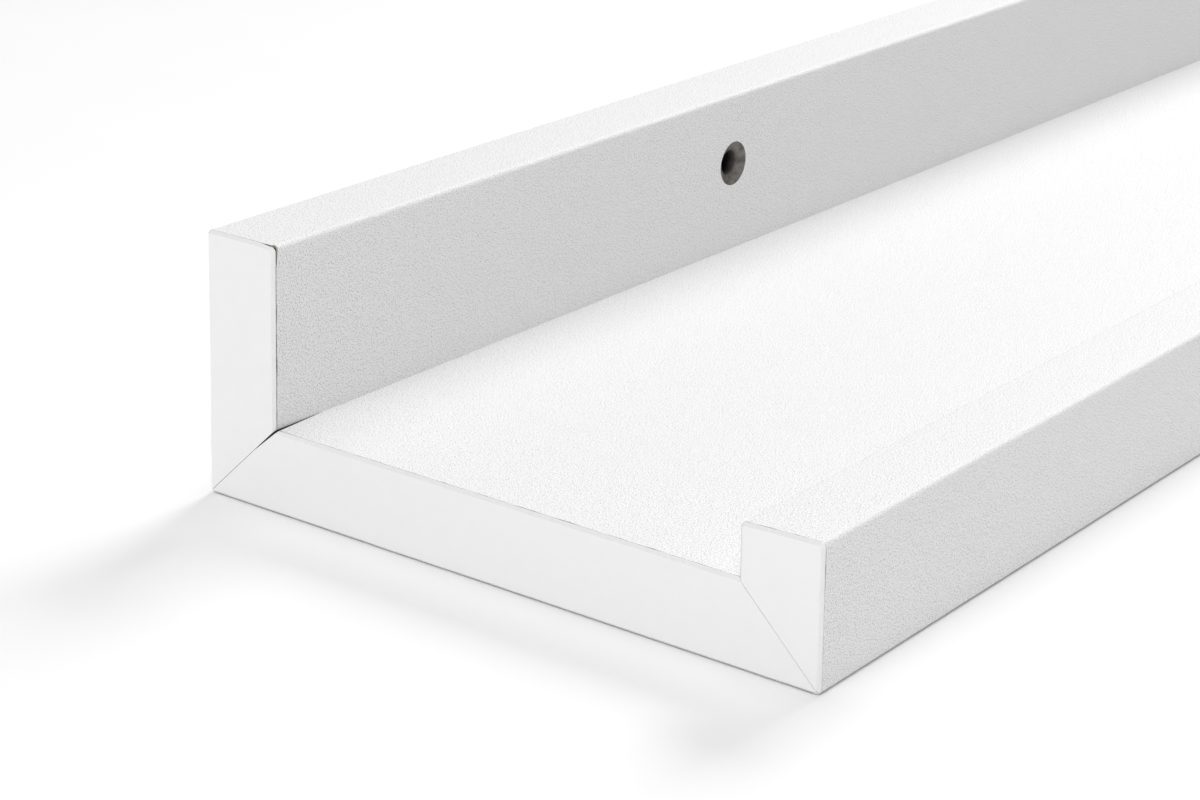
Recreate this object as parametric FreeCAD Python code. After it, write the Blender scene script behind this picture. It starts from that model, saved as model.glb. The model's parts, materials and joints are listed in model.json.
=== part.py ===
import FreeCAD, Part

import math
import os

# Picture ledge: a floating wall shelf folded from one foil-wrapped strip of fibreboard.
# The strip is wrapped in foil while flat, grooved at 45 degrees along two lines of its inner face,
# and folded up into a channel: a tall rail for the wall, a base to stand things on, a low lip in front.
# Each groove closes into a mitre joint. The foil on the outer face is never cut, so it runs on round
# both folds, and the strip of foil on the base is left between the grooves as a piece of its own.
# The raw ends are closed with edge band, one piece on each board, mitred like the boards.
#
# Frame, in millimetres: +X along the shelf, +Y into the wall, +Z up. The origin lies on the wall plane,
# midway between the two screw holes and at their height.

# Finished shelf
LENGTH = 600.0
DEPTH = 100.0
RAIL_HEIGHT = 38.0
LIP_HEIGHT = 19.8
BOARD = 12.0

# Foil, and the radii that it is wrapped round, measured on its outside
FOIL = 0.3
TOP_RADIUS = 0.7
FOLD_RADIUS = 0.7

# Edge band on the ends, the bevel scraped along it, and the hairlines left at its joints
BAND = 0.5
BAND_BEVEL = 0.4
BEVEL_WALL_SHARE = 0.9
FOIL_JOINT = 0.1
MITRE_JOINT = 0.05

# Screw holes through the rail, countersunk from the front
SCREW_SPACING = 380.0
SCREW_HEIGHT = 26.5
SCREW_HOLE = 4.0
COUNTERSINK = 7.2
COUNTERSINK_ANGLE = 118.0

# Opening left in the rail's mitre at each end, where the fold springs back
FOLD_GAP = 0.5
FOLD_GAP_DEPTH = 4.0
FOLD_GAP_RUN = 17.0

# How far a cutting solid runs past what it cuts
OVERRUN = 5.0

# Worked out from the sizes above
CORE_LENGTH = LENGTH - 2 * BAND
FOIL_LENGTH = CORE_LENGTH - 2 * FOIL_JOINT
RAIL_FACE = -BOARD
LIP_FACE = BOARD - DEPTH


def outline(corners):
    """Closed wire in the YZ plane through (y, z, radius) corners. A corner with a radius is an arc."""
    places = [FreeCAD.Vector(0, y, z) for y, z, radius in corners]
    legs = []
    for i, (y, z, radius) in enumerate(corners):
        corner = places[i]
        to_last = (places[i - 1] - corner).normalize()
        to_next = (places[(i + 1) % len(places)] - corner).normalize()
        half = to_last.getAngle(to_next) / 2
        run = radius / math.tan(half)
        crown = (to_last + to_next).normalize() * (radius / math.sin(half) - radius)
        legs.append((corner + to_last * run, corner + crown, corner + to_next * run, radius))
    edges = []
    for i, (start, middle, end, radius) in enumerate(legs):
        if radius > 0:
            edges.append(Part.Arc(start, middle, end).toShape())
        edges.append(Part.LineSegment(end, legs[(i + 1) % len(legs)][0]).toShape())
    return Part.Wire(edges)


def prism(corners, length, start=None):
    """Solid with that outline, length long in X. It starts at start, or is centred on the origin."""
    first = -length / 2 if start is None else start
    face = Part.Face(outline(corners))
    face.translate(FreeCAD.Vector(first, 0, 0))
    return face.extrude(FreeCAD.Vector(length, 0, 0))


def channel(inset):
    """Corners of the whole folded section, taken in by inset on every side."""
    top = max(TOP_RADIUS - inset, 0)
    fold = max(FOLD_RADIUS - inset, 0)
    return [
        (RAIL_FACE + inset, BOARD - inset, 0),
        (RAIL_FACE + inset, RAIL_HEIGHT - inset, top),
        (-inset, RAIL_HEIGHT - inset, top),
        (-inset, inset, fold),
        (inset - DEPTH, inset, fold),
        (inset - DEPTH, LIP_HEIGHT - inset, top),
        (LIP_FACE - inset, LIP_HEIGHT - inset, top),
        (LIP_FACE - inset, BOARD - inset, 0),
    ]


def rail_side():
    """Everything on the rail's side of its mitre, which runs from the inner corner to the wall edge."""
    return prism(
        [
            (OVERRUN, -OVERRUN, 0),
            (RAIL_FACE - OVERRUN, BOARD + OVERRUN, 0),
            (RAIL_FACE - OVERRUN, RAIL_HEIGHT + OVERRUN, 0),
            (OVERRUN, RAIL_HEIGHT + OVERRUN, 0),
        ],
        LENGTH + 2 * OVERRUN,
    )


def lip_side():
    """Everything on the lip's side of its mitre, which runs from the inner corner to the front edge."""
    return prism(
        [
            (-DEPTH - OVERRUN, -OVERRUN, 0),
            (LIP_FACE + OVERRUN, BOARD + OVERRUN, 0),
            (LIP_FACE + OVERRUN, LIP_HEIGHT + OVERRUN, 0),
            (-DEPTH - OVERRUN, LIP_HEIGHT + OVERRUN, 0),
        ],
        LENGTH + 2 * OVERRUN,
    )


def screw_cutter():
    """Both screw holes: a bore through the rail, and a cone that opens it at the rail's face."""
    along = FreeCAD.Vector(0, 1, 0)
    cone_depth = (COUNTERSINK - SCREW_HOLE) / 2 / math.tan(math.radians(COUNTERSINK_ANGLE / 2))
    cutters = []
    for side in (-1, 1):
        rim = FreeCAD.Vector(side * SCREW_SPACING / 2, RAIL_FACE, SCREW_HEIGHT)
        bore_start = rim - along * OVERRUN
        cutters.append(Part.makeCylinder(SCREW_HOLE / 2, BOARD + 2 * OVERRUN, bore_start, along))
        cutters.append(Part.makeCone(COUNTERSINK / 2, SCREW_HOLE / 2, cone_depth, rim, along))
    return Part.makeCompound(cutters)


def fold_gap_cutter():
    """The slim opening in the base's mitre at each end, widest at the inner corner of the end face."""
    cutters = []
    for side in (-1, 1):
        end = side * LENGTH / 2
        corner = FreeCAD.Vector(end, RAIL_FACE, BOARD)
        down_mitre = corner + FreeCAD.Vector(0, FOLD_GAP_DEPTH, -FOLD_GAP_DEPTH)
        along_corner = corner - FreeCAD.Vector(side * FOLD_GAP_RUN, 0, 0)
        across_base = corner - FreeCAD.Vector(0, FOLD_GAP, 0)
        points = [corner, down_mitre, along_corner, across_base]
        faces = []
        for left_out in points:
            ring = [p for p in points if p is not left_out]
            faces.append(Part.Face(Part.makePolygon(ring + ring[:1])))
        solid = Part.Solid(Part.Shell(faces))
        cutters.append(solid if solid.Volume > 0 else solid.reversed())
    return Part.makeCompound(cutters)


def boards():
    """The three fibreboard cores that the two grooves leave of the strip."""
    core = prism(channel(FOIL), CORE_LENGTH)
    rail = core.common(rail_side()).cut(screw_cutter())
    lip = core.common(lip_side())
    base = core.cut(rail_side()).cut(lip_side()).cut(fold_gap_cutter())
    return {"back_rail": rail, "base_board": base, "front_lip": lip}


def foils():
    """The outer foil that holds the folds, and the strip of foil between the grooves."""
    strip = prism(
        [
            (RAIL_FACE, BOARD, 0),
            (LIP_FACE, BOARD, 0),
            (LIP_FACE - FOIL, BOARD - FOIL, 0),
            (RAIL_FACE + FOIL, BOARD - FOIL, 0),
        ],
        FOIL_LENGTH,
    )
    skin = prism(channel(0), FOIL_LENGTH).cut(prism(channel(FOIL), FOIL_LENGTH))
    outer = skin.cut(strip).cut(screw_cutter())
    return {"outer_foil": outer, "base_foil": strip.cut(fold_gap_cutter())}


def band_plate(side):
    """One end's edge band before it is mitred, with its outer arris bevelled all round."""
    end = side * LENGTH / 2
    plate = prism(channel(0), BAND, min(end, end - side * BAND))
    outside = max(plate.Faces, key=lambda face: side * face.CenterOfMass.x)
    return plate.makeChamfer(min(BAND_BEVEL, BEVEL_WALL_SHARE * BAND), outside.OuterWire.Edges)


def mitre_slot(inner_y, outer_y):
    """The hairline between two bands, along a mitre that drops from (inner_y, BOARD) to (outer_y, 0)."""
    run = OVERRUN * (1 if outer_y > inner_y else -1)
    half = MITRE_JOINT / 2 * math.sqrt(2)
    return prism(
        [
            (inner_y - run, BOARD + OVERRUN + half, 0),
            (outer_y + run, -OVERRUN + half, 0),
            (outer_y + run, -OVERRUN - half, 0),
            (inner_y - run, BOARD + OVERRUN - half, 0),
        ],
        LENGTH + 2 * OVERRUN,
    )


def end_bands():
    """Three pieces of edge band on each end, one for each board."""
    bands = {}
    for name, side in (("left", -1), ("right", 1)):
        cut = band_plate(side).cut(mitre_slot(RAIL_FACE, 0)).cut(mitre_slot(LIP_FACE, -DEPTH))
        lip, base, rail = sorted(cut.Solids, key=lambda solid: solid.CenterOfMass.y)
        bands["rail_end_band_" + name] = rail
        bands["base_end_band_" + name] = base.cut(fold_gap_cutter())
        bands["lip_end_band_" + name] = lip
    return bands


def main():
    os.makedirs("parts", exist_ok=True)
    pieces = {**boards(), **foils(), **end_bands()}
    for name, shape in pieces.items():
        shape.translate(FreeCAD.Vector(0, 0, -SCREW_HEIGHT))
        print(name, "solids", len(shape.Solids), "volume", round(shape.Volume, 3), "valid", shape.isValid())
        shape.exportStep("parts/" + name + ".step")


main()
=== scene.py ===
import json
import math

import bmesh
import bpy
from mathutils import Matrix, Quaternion, Vector, noise


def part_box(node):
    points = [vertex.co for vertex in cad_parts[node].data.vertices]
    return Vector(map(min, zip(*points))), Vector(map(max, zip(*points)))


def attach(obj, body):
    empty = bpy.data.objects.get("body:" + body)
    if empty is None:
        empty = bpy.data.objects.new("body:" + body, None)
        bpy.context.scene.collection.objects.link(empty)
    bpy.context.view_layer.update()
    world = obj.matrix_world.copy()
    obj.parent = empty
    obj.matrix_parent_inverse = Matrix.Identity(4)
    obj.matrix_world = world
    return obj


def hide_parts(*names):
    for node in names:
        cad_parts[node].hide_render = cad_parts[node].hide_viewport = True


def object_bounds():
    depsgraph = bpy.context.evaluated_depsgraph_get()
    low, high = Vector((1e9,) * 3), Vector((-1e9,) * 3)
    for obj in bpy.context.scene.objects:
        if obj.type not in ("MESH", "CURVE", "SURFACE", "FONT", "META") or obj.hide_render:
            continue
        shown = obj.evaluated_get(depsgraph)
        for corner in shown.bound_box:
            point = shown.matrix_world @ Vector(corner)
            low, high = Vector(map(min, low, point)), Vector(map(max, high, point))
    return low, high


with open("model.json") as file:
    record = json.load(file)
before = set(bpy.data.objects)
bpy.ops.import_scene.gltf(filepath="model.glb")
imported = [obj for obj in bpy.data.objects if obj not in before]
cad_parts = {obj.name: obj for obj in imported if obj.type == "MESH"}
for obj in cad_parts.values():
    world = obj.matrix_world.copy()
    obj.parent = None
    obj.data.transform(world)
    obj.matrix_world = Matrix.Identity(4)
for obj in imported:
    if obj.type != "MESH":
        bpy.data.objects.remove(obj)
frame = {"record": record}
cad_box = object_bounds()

# Fibreboard cores
# Three strips of 12 mm fibreboard, left of one strip when two grooves are cut in it for its folds.
# They are glued face to face along the mitres, and the lip's fold has closed two degrees past square.
# Only the screw holes and the open fold show them.
MM = 0.001
shelf_low, shelf_high = cad_box
END, WALL = shelf_high.x, shelf_high.y
UNDERSIDE, RAIL_TOP = shelf_low.z, shelf_high.z
BASE_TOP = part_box("base_end_band_left")[1].z
BOARD = BASE_TOP - UNDERSIDE
RAIL_FACE = WALL - BOARD
DEPTH = WALL - shelf_low.y
LIP_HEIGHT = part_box("lip_end_band_left")[1].z - UNDERSIDE
LIP_LEAN = math.radians(2)
CORE_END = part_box("base_board")[1].x
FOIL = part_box("base_board")[0].z - UNDERSIDE
TOP_RADIUS = 0.7 * MM
FOLD_RADIUS = 0.7 * MM
ARC_STEPS = 8

# An edge that turns by more than this angle stays sharp, and points closer than the snap are joined.
SMOOTH_ANGLE = math.radians(28)
SNAP = 0.001 * MM


def on_lip(inward, upward):
    """Point (y, z) of the leaning lip, measured in from its front face and up along it from its foot."""
    across = Vector((math.cos(LIP_LEAN), -math.sin(LIP_LEAN)))
    along = Vector((math.sin(LIP_LEAN), math.cos(LIP_LEAN)))
    return Vector((WALL - DEPTH, UNDERSIDE)) + across * inward + along * upward


def on_lip_mitre(depth):
    """Point (y, z) of the lip's mitre that lies as deep behind the front face as above the underside."""
    return on_lip(depth, depth * (1 + math.sin(LIP_LEAN)) / math.cos(LIP_LEAN))


def rounded(corners):
    """Points (y, z) of a closed outline through (y, z, radius) corners. A corner with a radius is an arc."""
    points = []
    for i, (y, z, radius) in enumerate(corners):
        corner = Vector((y, z))
        if radius <= 0:
            points.append(corner)
            continue
        back = (Vector(corners[i - 1][:2]) - corner).normalized()
        on = (Vector(corners[(i + 1) % len(corners)][:2]) - corner).normalized()
        half = back.angle(on) / 2
        centre = corner + (back + on).normalized() * radius / math.sin(half)
        first, last = [corner + way * radius / math.tan(half) - centre for way in (back, on)]
        points += [centre + first.slerp(last, step / ARC_STEPS) * radius for step in range(ARC_STEPS + 1)]
    return points


def folded_section(inset):
    """Outline of the folded shelf from the rail's foot round to the lip's, taken in by inset all round."""
    top, fold = TOP_RADIUS - inset, FOLD_RADIUS - inset
    return rounded([
        (RAIL_FACE + inset, BASE_TOP - inset, 0),
        (RAIL_FACE + inset, RAIL_TOP - inset, top),
        (WALL - inset, RAIL_TOP - inset, top),
        (WALL - inset, UNDERSIDE + inset, fold),
        (*on_lip_mitre(inset), fold),
        (*on_lip(inset, LIP_HEIGHT - inset), top),
        (*on_lip(BOARD - inset, LIP_HEIGHT - inset), top),
        (*on_lip_mitre(BOARD - inset), 0),
    ])


def loft(rings, caps=True):
    """A bmesh skinned over closed rings of as many points each, with a flat cap on both ends if asked."""
    bm = bmesh.new()
    rows = [[bm.verts.new(point) for point in ring] for ring in rings]
    for row, following in zip(rows, rows[1:]):
        for i in range(len(row)):
            j = (i + 1) % len(row)
            bm.faces.new((row[i], row[j], following[j], following[i]))
    if caps:
        bm.faces.new(rows[0])
        bm.faces.new(rows[-1])
    bmesh.ops.recalc_face_normals(bm, faces=bm.faces)
    return bm


def keep_side(bm, point, normal, cut_slot=0):
    """Cuts a bmesh by a plane, keeps the normal's side and closes the cut with a face of a material slot."""
    everything = bm.verts[:] + bm.edges[:] + bm.faces[:]
    cut = bmesh.ops.bisect_plane(bm, geom=everything, plane_co=point, plane_no=normal, clear_inner=True)
    edges = [part for part in cut["geom_cut"] if isinstance(part, bmesh.types.BMEdge)]
    for face in bmesh.ops.edgeloop_fill(bm, edges=edges)["faces"]:
        face.material_index = cut_slot
    bmesh.ops.remove_doubles(bm, verts=bm.verts, dist=SNAP)
    bmesh.ops.recalc_face_normals(bm, faces=bm.faces)
    return bm


def piece(name, bm, materials, slot, *nodes):
    """Turns a bmesh into a piece of the shelf with its materials, and hides the nodes that it stands for.
    The slot is not used.
    """
    mesh = bpy.data.meshes.new(name)
    bm.to_mesh(mesh)
    bm.free()
    mesh.shade_smooth()
    mesh.set_sharp_from_angle(angle=SMOOTH_ANGLE)
    for material in materials:
        mesh.materials.append(material)
    made = bpy.data.objects.new(name, mesh)
    bpy.context.scene.collection.objects.link(made)
    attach(made, "root")
    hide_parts(*nodes)
    return made


def linear(code):
    """An sRGB hex colour as linear RGBA."""
    parts = [int(code[i:i + 2], 16) / 255 for i in (1, 3, 5)]
    return [c / 12.92 if c <= 0.04045 else ((c + 0.055) / 1.055) ** 2.4 for c in parts] + [1.0]


def add(tree, kind, inputs, **settings):
    """A new node with its settings. Each input, by name or number, gets a value or a link to an output."""
    node = tree.nodes.new(kind)
    for name, value in settings.items():
        setattr(node, name, value)
    for key, value in inputs.items():
        if isinstance(value, bpy.types.NodeSocket):
            tree.links.new(value, node.inputs[key])
        else:
            node.inputs[key].default_value = value
    return node


def new_material(name):
    """A new node material, its tree, its shader and the place on the shelf that its patterns follow."""
    material = bpy.data.materials.new(name)
    material.use_nodes = True
    tree = material.node_tree
    where = add(tree, "ShaderNodeTexCoord", {}).outputs["Object"]
    return material, tree, tree.nodes["Principled BSDF"], where


# Glued fibreboard: faces that were cut or sanded, and took up the hot glue that holds foil and folds.
# Their near black is painted shade, so the open fold and the joints read as deep in shadow, with a low gleam
# where the glue stands.
FIBRE = 0.25 * MM
shade_black_fibreboard, tree, shader, where = new_material("fibreboard_painted_shade_black")
smears = add(tree, "ShaderNodeTexNoise", {"Vector": where, "Scale": 1 / FIBRE, "Detail": 3.0})
# Painted shade: the near black colour stands for the shade inside the open fold and the joints.
painted_shade_black = add(tree, "ShaderNodeMix",
             {"Factor": smears.outputs["Fac"], "A": linear("#0F0E0D"), "B": linear("#2A2724")},
             data_type="RGBA")
tree.links.new(painted_shade_black.outputs["Result"], shader.inputs["Base Color"])
shader.inputs["Roughness"].default_value = 0.6

# Opening of the rail's fold at each end: its width and depth on the end face, and its run along the corner.
FOLD_GAP = 0.5 * MM
FOLD_GAP_DEPTH = 4.0 * MM
FOLD_GAP_RUN = 10.0 * MM


def open_fold(bm, side, cut_slot=0):
    """Cuts the slim wedge of the open fold off the back corner of a piece of the base, at one end."""
    corner = Vector((side * END, RAIL_FACE, BASE_TOP))
    along_corner = corner - Vector((side * FOLD_GAP_RUN, 0, 0))
    down_mitre = corner + Vector((0, FOLD_GAP_DEPTH, -FOLD_GAP_DEPTH))
    across_base = corner - Vector((0, FOLD_GAP, 0))
    into_base = (down_mitre - along_corner).cross(across_base - along_corner) * side
    return keep_side(bm, along_corner, into_base.normalized(), cut_slot)


core_rings = [[(x, *point) for point in folded_section(FOIL)] for x in (-CORE_END, CORE_END)]
rail_foot, lip_foot = Vector((0, RAIL_FACE, BASE_TOP)), Vector((0, *on_lip_mitre(BOARD)))
lip_mitre = (on_lip_mitre(BOARD) - on_lip_mitre(0)).normalized()
above_rail_mitre = Vector((0, 1, 1)).normalized()
above_lip_mitre = Vector((0, -lip_mitre.y, lip_mitre.x))
rail_core = keep_side(loft(core_rings), rail_foot, above_rail_mitre)
lip_core = keep_side(loft(core_rings), lip_foot, above_lip_mitre)
base_core = keep_side(loft(core_rings), rail_foot, -above_rail_mitre)
base_core = keep_side(base_core, lip_foot, -above_lip_mitre)
base_core = open_fold(open_fold(base_core, -1), 1)
back_rail = piece("back_rail_core", rail_core, [shade_black_fibreboard], "fibreboard", "back_rail")
piece("base_board_core", base_core, [shade_black_fibreboard], "fibreboard", "base_board")
piece("front_lip_core", lip_core, [shade_black_fibreboard], "fibreboard", "front_lip")

# Outer foil
# One sheet of embossed white PVC foil, glued round the whole strip before it is grooved and folded.
# It runs unbroken over the top edges and round the outside of both folds, and is trimmed by hand at the
# ends. There it has shrunk back down the rail's face, and the near top corner is torn.
SECTION_STEP = 1.2 * MM
TRIM_RUN = 2.0 * MM
HAIRLINE = 0.03 * MM
TRIM_WANDER = 0.20 * MM
TRIM_WAVE = 2.2 * MM
PULLED_BACK = 0.08 * MM
TORN = 0.32 * MM
TORN_RUN = 3.0 * MM

# Embossed PVC foil: calendered white film with a fine pebbled grain pressed in by a roller.
# The pebbles break the light into small crisp specks, and their colour adds painted shade between them and a
# painted highlight on their crowns.
# The film keeps a low satin sheen. They are drawn a little coarser than the real ones, so that they show.
# The pattern lies on the unrolled sheet: its second way is depth plus height, which grows up a face and
# on across the top of it, so the grain runs over the square edges.
GRAIN = 0.20 * MM
GRAIN_DEPTH = 0.035 * MM
CROWN_SHARE = 0.15
VALLEY_SHARE = 0.80
embossed_foil, tree, shader, where = new_material("white_pvc_foil_embossed")
place = add(tree, "ShaderNodeSeparateXYZ", {"Vector": where}).outputs
girth = add(tree, "ShaderNodeMath", {0: place["Y"], 1: place["Z"]}, operation="ADD").outputs["Value"]
unrolled = add(tree, "ShaderNodeCombineXYZ", {"X": place["X"], "Y": girth}).outputs["Vector"]
pebbles = add(tree, "ShaderNodeTexVoronoi",
              {"Vector": unrolled, "Scale": 1 / GRAIN}, voronoi_dimensions="2D").outputs["Distance"]
raised = add(tree, "ShaderNodeMapRange",
             {"Value": pebbles, "From Min": VALLEY_SHARE, "From Max": CROWN_SHARE}).outputs["Result"]
pressed = add(tree, "ShaderNodeBump", {"Height": raised, "Strength": 1.0, "Distance": GRAIN_DEPTH})
# Painted shade and highlight: the valleys are greyed to #CACACA and the crowns lit to near pure white.
white = add(tree, "ShaderNodeMix",
            {"Factor": raised, "A": linear("#CACACA"), "B": linear("#FDFDFD")}, data_type="RGBA")
tree.links.new(white.outputs["Result"], shader.inputs["Base Color"])
tree.links.new(pressed.outputs["Normal"], shader.inputs["Normal"])
shader.inputs["Roughness"].default_value = 0.56
shader.inputs["IOR"].default_value = 1.52

# Hot-melt glue: squeezed out along the foil's trimmed end, then scraped off and grey with dust.
# It shows as a hairline that comes and goes between the grained foil and the smooth edge band.
GLUE_DASH = 1.6 * MM
DUSTY_BELOW = 0.38
CLEAN_ABOVE = 0.62
glue_line, tree, shader, where = new_material("hot_melt_glue_scraped")
dashes = add(tree, "ShaderNodeTexNoise", {"Vector": where, "Scale": 1 / GLUE_DASH, "Detail": 2.0})
clean = add(tree, "ShaderNodeMapRange",
            {"Value": dashes.outputs["Fac"], "From Min": DUSTY_BELOW, "From Max": CLEAN_ABOVE})
grey = add(tree, "ShaderNodeMix",
           {"Factor": clean.outputs["Result"], "A": linear("#4A4744"), "B": linear("#A8A5A0")},
           data_type="RGBA")
tree.links.new(grey.outputs["Result"], shader.inputs["Base Color"])
shader.inputs["Roughness"].default_value = 0.8

foil_finishes = [embossed_foil, glue_line, shade_black_fibreboard]
TRIMMED_SLOT = foil_finishes.index(glue_line)
SHADE_BLACK_SLOT = foil_finishes.index(shade_black_fibreboard)


def stepped_section(inset):
    """The folded section with its straight runs cut into short steps, alike for every inset."""
    outer, points = folded_section(0), folded_section(inset)
    path = []
    for i in range(len(points)):
        j = (i + 1) % len(points)
        cuts = max(1, round((outer[j] - outer[i]).length / SECTION_STEP))
        path += [points[i].lerp(points[j], cut / cuts) for cut in range(cuts)]
    return path


def joint_at(point, side):
    """Width of the joint between foil and edge band at a point of the section.

    It is wider down the rail's face, where the foil has shrunk back, and torn open at the near top corner.
    """
    wave = noise.noise(Vector((point.x / TRIM_WAVE, point.y / TRIM_WAVE, side)))
    on_rail_face = abs(point.x - RAIL_FACE) < 2 * FOIL
    torn = TORN * max(0, 1 - (RAIL_TOP - point.y) / TORN_RUN) * (side < 0)
    return HAIRLINE + TRIM_WANDER * max(0, wave) + (PULLED_BACK + torn) * on_rail_face


def foil_sheet(face, back, short=0):
    """A sheet of foil through the points of its face and its glued back, trimmed unevenly at both ends."""
    section = face + back[::-1]
    rings = []
    for side in (-1, 1):
        ragged = [(side * (CORE_END - joint_at(point, side) - short), *point) for point in section]
        straight = [(side * (CORE_END - TRIM_RUN), *point) for point in section]
        rings += [ragged, straight][::-side]
    bm = loft(rings, caps=False)
    bm.faces.ensure_lookup_table()
    # The foil's two long edges take the near black fibreboard finish, painted shade in the joints at the
    # folds.
    for i, skin in enumerate(bm.faces):
        if i % len(section) in (len(face) - 1, len(section) - 1):
            skin.material_index = SHADE_BLACK_SLOT
    bm.verts.ensure_lookup_table()
    for first in (0, len(bm.verts) - len(section)):
        for i in range(len(face) - 1):
            corners = (i, i + 1, len(section) - 2 - i, len(section) - 1 - i)
            trimmed = bm.faces.new([bm.verts[first + corner] for corner in corners])
            trimmed.material_index = TRIMMED_SLOT
    bmesh.ops.recalc_face_normals(bm, faces=bm.faces)
    return bm


# The section ends with the run across the base, which this foil leaves free.
base_steps = round((RAIL_FACE - on_lip_mitre(BOARD).x) / SECTION_STEP)
wrap_face, wrap_back = [stepped_section(inset)[:1 - base_steps] for inset in (0, FOIL)]
outer_foil = piece("outer_foil_wrap", foil_sheet(wrap_face, wrap_back), foil_finishes, "foil", "outer_foil")

# Screw holes
# Two holes are drilled through the rail and countersunk from its face for the heads of the wall screws.
# The drill cuts clean through the foil, and leaves raw fibreboard down the cone and the bore.
screws = next(mount for mount in frame["record"]["mounts"] if mount["name"] == "wall_screws")
BORE_RADIUS = screws["dims"]["hole_r_mm"] * MM
SCREW_X = screws["dims"]["spacing_x_mm"] * MM / 2
SCREW_Z = screws["pos_m"][2]
CONE_RADIUS = 3.6 * MM
CONE_ANGLE = math.radians(118)
CONE_DEPTH = (CONE_RADIUS - BORE_RADIUS) / math.tan(CONE_ANGLE / 2)
DRILL_OVERRUN = 3 * MM
DRILL_SIDES = 96

# Burnished fibreboard: the hole's wall, rubbed by the drill, so grey fibre shows unevenly round the cone.
# From where the cone meets the bore it darkens with depth into the rail, painted shade, and a few
# millimetres in it is black.
BURNISH = 1.2 * MM
BURNT_BELOW = 0.3
BARE_ABOVE = 0.7
BORE_SHADE_START = 0.6 * MM
BORE_SHADE_DEPTH = 2.5 * MM
burnished_fibreboard_bore_shade, tree, shader, where = new_material("fibreboard_burnished_bore_shaded")
into_rail = add(tree, "ShaderNodeSeparateXYZ", {"Vector": where}).outputs["Y"]
# Painted shade: darker with depth into the rail from the cone's foot, black down the bore.
bore_shade = add(tree, "ShaderNodeMapRange",
             {"Value": into_rail, "From Min": RAIL_FACE + BORE_SHADE_START,
              "From Max": RAIL_FACE + BORE_SHADE_DEPTH})
rub = add(tree, "ShaderNodeTexNoise", {"Vector": where, "Scale": 1 / BURNISH, "Detail": 4.0})
bare = add(tree, "ShaderNodeMapRange",
           {"Value": rub.outputs["Fac"], "From Min": BURNT_BELOW, "From Max": BARE_ABOVE})
fibre = add(tree, "ShaderNodeMix",
            {"Factor": bare.outputs["Result"], "A": linear("#504C49"), "B": linear("#7E7974")},
            data_type="RGBA")
fibre_under_bore_shade = add(tree, "ShaderNodeMix",
               {"Factor": bore_shade.outputs["Result"], "A": fibre.outputs["Result"], "B": linear("#050505")},
               data_type="RGBA")
tree.links.new(fibre_under_bore_shade.outputs["Result"], shader.inputs["Base Color"])
shader.inputs["Roughness"].default_value = 0.8


def drilled(made):
    """Cuts both countersunk holes out of a piece and gives their walls the burnished finish, with its
    painted shade down the bore.
    """
    spread = math.tan(CONE_ANGLE / 2) * DRILL_OVERRUN
    spots = [
        (RAIL_FACE - DRILL_OVERRUN, CONE_RADIUS + spread),
        (RAIL_FACE + CONE_DEPTH, BORE_RADIUS),
        (WALL + DRILL_OVERRUN, BORE_RADIUS),
    ]
    turns = [2 * math.pi * i / DRILL_SIDES for i in range(DRILL_SIDES)]
    for x in (-SCREW_X, SCREW_X):
        drill = [[(x + r * math.cos(t), y, SCREW_Z + r * math.sin(t)) for t in turns] for y, r in spots]
        mesh = bpy.data.meshes.new("drill")
        loft(drill).to_mesh(mesh)
        bit = bpy.data.objects.new("drill", mesh)
        bpy.context.scene.collection.objects.link(bit)
        cut = made.modifiers.new("drill", "BOOLEAN")
        cut.operation, cut.solver, cut.object = "DIFFERENCE", "EXACT", bit
        seen = made.evaluated_get(bpy.context.evaluated_depsgraph_get())
        solid = bpy.data.meshes.new_from_object(seen)
        made.modifiers.clear()
        made.data = solid
        bpy.data.objects.remove(bit)
    made.data.materials.append(burnished_fibreboard_bore_shade)
    for face in made.data.polygons:
        off_axis = math.hypot(abs(face.center.x) - SCREW_X, face.center.z - SCREW_Z)
        if off_axis <= CONE_RADIUS and abs(face.normal.y) < math.cos(SMOOTH_ANGLE):
            face.material_index = len(made.data.materials) - 1
    made.data.set_sharp_from_angle(angle=SMOOTH_ANGLE)


drilled(back_rail)
drilled(outer_foil)

# Base foil
# The strip of the same foil that stays on the base between the two grooves, with mitred edges.
# At each end it is trimmed a hair shorter, and the fold behind it has sprung open a little.
STRIP_SHORT = 0.03 * MM


def strip_side(inset):
    """Points across the base from rail to lip, inset under its top, with the ends on the two mitres."""
    first, last = Vector((RAIL_FACE + inset, BASE_TOP - inset)), on_lip_mitre(BOARD - inset)
    return [first.lerp(last, step / base_steps) for step in range(base_steps + 1)]


strip = foil_sheet(strip_side(0), strip_side(FOIL), STRIP_SHORT)
strip = open_fold(open_fold(strip, -1, SHADE_BLACK_SLOT), 1, SHADE_BLACK_SLOT)
piece("base_foil_strip", strip, foil_finishes, "foil", "base_foil")

# End bands
# Smooth white ABS edge band, ironed on to the raw end of each board, trimmed flush and mitred with it.
# A hand scraper has bevelled its outer arris unevenly, and slipped at the near end's top front corner.
# Hairlines stay open at the mitres.
BAND = END - CORE_END
BEVEL = 0.4 * MM
BEVEL_WANDER = 0.12 * MM
BEVEL_WAVE = 7.0 * MM
MITRE_JOINT = 0.07 * MM
CHIP = 0.26 * MM
CHIP_RUN = 2.8 * MM
CHIP_DROP = 0.7 * MM

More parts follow.
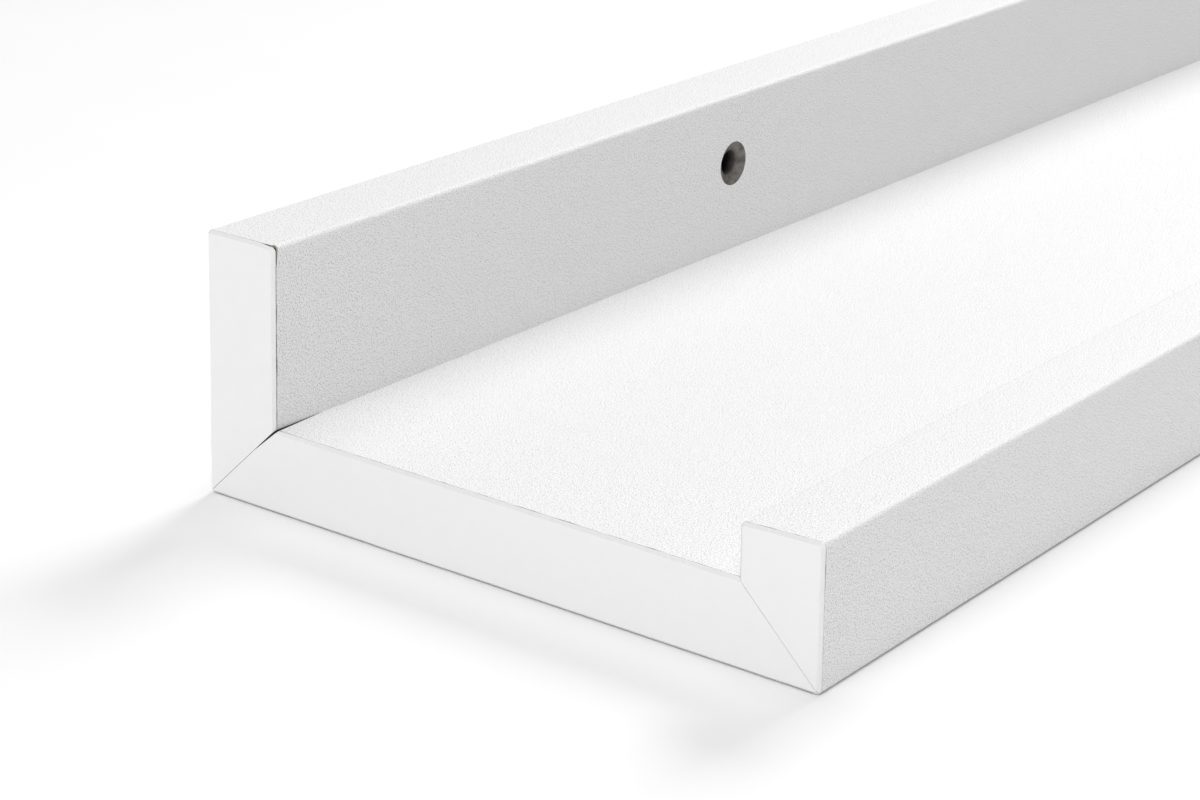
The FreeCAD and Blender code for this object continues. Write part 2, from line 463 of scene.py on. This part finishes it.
# Extruded ABS edge band: an even white, slightly greyer than the foil, with a satin skin and a faint ripple
# from the press roller.
RIPPLE = 0.5 * MM
RIPPLE_DEPTH = 0.01 * MM
MOTTLE = 2.5 * MM
edge_band, tree, shader, where = new_material("white_abs_edge_band_extruded")
mottle = add(tree, "ShaderNodeTexNoise", {"Vector": where, "Scale": 1 / MOTTLE, "Detail": 3.0})
greyer = add(tree, "ShaderNodeMix",
             {"Factor": mottle.outputs["Fac"], "A": linear("#E3E3E3"), "B": linear("#E6E6E6")},
             data_type="RGBA")
ripple = add(tree, "ShaderNodeTexNoise", {"Vector": where, "Scale": 1 / RIPPLE, "Detail": 2.0})
rolled = add(tree, "ShaderNodeBump",
             {"Height": ripple.outputs["Fac"], "Strength": 0.4, "Distance": RIPPLE_DEPTH})
tree.links.new(greyer.outputs["Result"], shader.inputs["Base Color"])
tree.links.new(rolled.outputs["Normal"], shader.inputs["Normal"])
shader.inputs["Roughness"].default_value = 0.42
shader.inputs["IOR"].default_value = 1.52

# Scraped ABS: the bevel along the band's arris, where the blade has torn off the satin skin.
# Its colour is the band's white turned greyer as painted shade, which draws a fine line round each end; it
# is rougher, with small chatter marks.
CHATTER = 0.6 * MM
CHATTER_DEPTH = 0.02 * MM
bevel_band_shaded, tree, shader, where = new_material("white_abs_edge_band_bevel_shaded")
chatter = add(tree, "ShaderNodeTexNoise", {"Vector": where, "Scale": 1 / CHATTER, "Detail": 2.0})
# Painted shade: the bevel is a greyer copy of the band's white, so it reads as a shaded strip.
bevel_painted_shade = add(tree, "ShaderNodeMix",
           {"Factor": chatter.outputs["Fac"], "A": linear("#D9D9D9"), "B": linear("#E4E4E4")},
           data_type="RGBA")
scored = add(tree, "ShaderNodeBump",
             {"Height": chatter.outputs["Fac"], "Strength": 0.6, "Distance": CHATTER_DEPTH})
tree.links.new(bevel_painted_shade.outputs["Result"], shader.inputs["Base Color"])
tree.links.new(scored.outputs["Normal"], shader.inputs["Normal"])
shader.inputs["Roughness"].default_value = 0.65
shader.inputs["IOR"].default_value = 1.52

band_finishes = [edge_band, bevel_band_shaded, shade_black_fibreboard]


def bevel_at(point, side):
    """Width of the scraped bevel at a point of the section."""
    wave = noise.noise(Vector((point.x / BEVEL_WAVE, point.y / BEVEL_WAVE, 2 * side)))
    return BEVEL + BEVEL_WANDER * min(wave, 0)


def chip_at(point, side):
    """How far the scraper has slipped and taken the band's edge back, at the near end's top front corner."""
    along_top, down_face = (point.x - RAIL_FACE) / CHIP_RUN, (RAIL_TOP - point.y) / CHIP_DROP
    return CHIP * max(0, 1 - math.hypot(along_top, down_face)) * (side < 0)


def band_plate(side):
    """The edge band of one end as one plate, with its outer arris bevelled."""
    outer, inner = stepped_section(0), stepped_section(BEVEL)
    back, shoulder, rim = [], [], []
    for point, inset in zip(outer, inner):
        width, chip = bevel_at(point, side), chip_at(point, side)
        edge = point.lerp(inset, chip / BEVEL)
        back.append((side * (END - BAND), *edge))
        shoulder.append((side * (END - width), *edge))
        rim.append((side * END, *(edge + (inset - point) * width / BEVEL)))
    bm = loft([back, shoulder, rim])
    bm.faces.ensure_lookup_table()
    for bevel in bm.faces[len(rim):2 * len(rim)]:
        bevel.material_index = band_finishes.index(bevel_band_shaded)
    return bm


rail_hairline = above_rail_mitre * MITRE_JOINT / 2
lip_hairline = above_lip_mitre * MITRE_JOINT / 2
for name, side in (("left", -1), ("right", 1)):
    rail_band = keep_side(band_plate(side), rail_foot + rail_hairline, above_rail_mitre)
    lip_band = keep_side(band_plate(side), lip_foot + lip_hairline, above_lip_mitre)
    base_band = keep_side(band_plate(side), rail_foot - rail_hairline, -above_rail_mitre)
    base_band = keep_side(base_band, lip_foot - lip_hairline, -above_lip_mitre)
    base_band = open_fold(base_band, side, band_finishes.index(shade_black_fibreboard))
    for board, bm in (("rail", rail_band), ("base", base_band), ("lip", lip_band)):
        node = f"{board}_end_band_{name}"
        piece(node + "_trimmed", bm, band_finishes, "edge_band", node)

# Floor
# A seamless sheet of white paper under the shelf, a little brighter than the shelf itself.
FLOOR_SIZE = 6.0
FLOOR_GAP = 0.15 * MM
PULP = 40 * MM
white_paper, tree, shader, where = new_material("white_paper_sweep")
pulp = add(tree, "ShaderNodeTexNoise", {"Vector": where, "Scale": 1 / PULP, "Detail": 2.0})
paper = add(tree, "ShaderNodeMix",
            {"Factor": pulp.outputs["Fac"], "A": linear("#F5F5F5"), "B": linear("#F7F7F7")},
            data_type="RGBA")
tree.links.new(paper.outputs["Result"], shader.inputs["Base Color"])
shader.inputs["Roughness"].default_value = 1.0
shader.inputs["Specular IOR Level"].default_value = 0.0
half, level = FLOOR_SIZE / 2, UNDERSIDE - FLOOR_GAP
floor_mesh = bpy.data.meshes.new("floor")
floor_mesh.from_pydata(
    [(-half, -half, level), (half, -half, level), (half, half, level), (-half, half, level)],
    [], [(0, 1, 2, 3)])
floor_mesh.materials.append(white_paper)
floor = bpy.data.objects.new("floor", floor_mesh)
bpy.context.scene.collection.objects.link(floor)

# Light
# A softbox past the far end, a little behind the shelf, throws its soft shadow towards the near end. A grid
# on it keeps its light off the far end. A wide diffuser lights the near end, two small softboxes above fill
# the inner corner, and the white room the rest.
AIM_ALONG = 100 * MM
ROOM_LIGHT = 0.40
world = bpy.data.worlds.new("soft_daylight")
world.use_nodes = True
room = world.node_tree.nodes["Background"]
room.inputs["Color"].default_value = linear("#FFFFFF")
room.inputs["Strength"].default_value = ROOM_LIGHT
bpy.context.scene.world = world
bpy.context.scene.view_settings.view_transform = "Standard"


def softbox(name, azimuth, height, distance, size, watts, spread=180):
    """A square area light set off from the shelf's near end and aimed a little way along the shelf.

    Its azimuth, height and spread are in degrees, and its distance and size in metres.
    """
    turn, rise = math.radians(azimuth), math.radians(height)
    back = Vector((math.sin(turn) * math.cos(rise), -math.cos(turn) * math.cos(rise), math.sin(rise)))
    data = bpy.data.lights.new(name, "AREA")
    data.size, data.energy, data.spread = size, watts, math.radians(spread)
    light = bpy.data.objects.new(name, data)
    near_end = Vector((-END, WALL - DEPTH / 2, UNDERSIDE))
    light.location = near_end + back * distance
    aim = near_end + Vector((AIM_ALONG, 0, 0)) - light.location
    light.rotation_euler = aim.to_track_quat("-Z", "Y").to_euler()
    bpy.context.scene.collection.objects.link(light)


softbox("right_softbox", azimuth=98, height=35, distance=1.5, size=0.6, watts=2.06, spread=75)
softbox("left_diffuser", azimuth=-80, height=20, distance=1.3, size=1.0, watts=7.0)
softbox("top_softbox", azimuth=90, height=80, distance=1.6, size=0.5, watts=2.8)
softbox("front_fill", azimuth=-54, height=60, distance=1.5, size=0.5, watts=5.6)

# Camera
# A long lens close to the near end, looking down along the shelf, held a little off level.
# Its place is measured from the shelf's heel, the near end's bottom corner at the wall, and its angles
# are in degrees.
FOCAL_LENGTH = 89.25
SENSOR_WIDTH = 36.0
CLIP_START = 10 * MM
CAMERA_AZIMUTH = -54.36
CAMERA_ELEVATION = 20.365
CAMERA_ROLL = 1.97
CAMERA_FROM_HEEL = Vector((-279.3, -266.25, 157.35)) * MM
lens = bpy.data.cameras.new("camera")
lens.lens = FOCAL_LENGTH
lens.sensor_width = SENSOR_WIDTH
lens.clip_start = CLIP_START
camera = bpy.data.objects.new("camera", lens)
turn, rise = math.radians(CAMERA_AZIMUTH), math.radians(CAMERA_ELEVATION)
ahead = Vector((-math.sin(turn) * math.cos(rise), math.cos(turn) * math.cos(rise), -math.sin(rise)))
camera.location = Vector((-END, WALL, UNDERSIDE)) + CAMERA_FROM_HEEL
upright = ahead.to_track_quat("-Z", "Y")
camera.rotation_euler = (upright @ Quaternion((0, 0, 1), math.radians(CAMERA_ROLL))).to_euler()
bpy.context.scene.collection.objects.link(camera)
bpy.context.scene.camera = camera
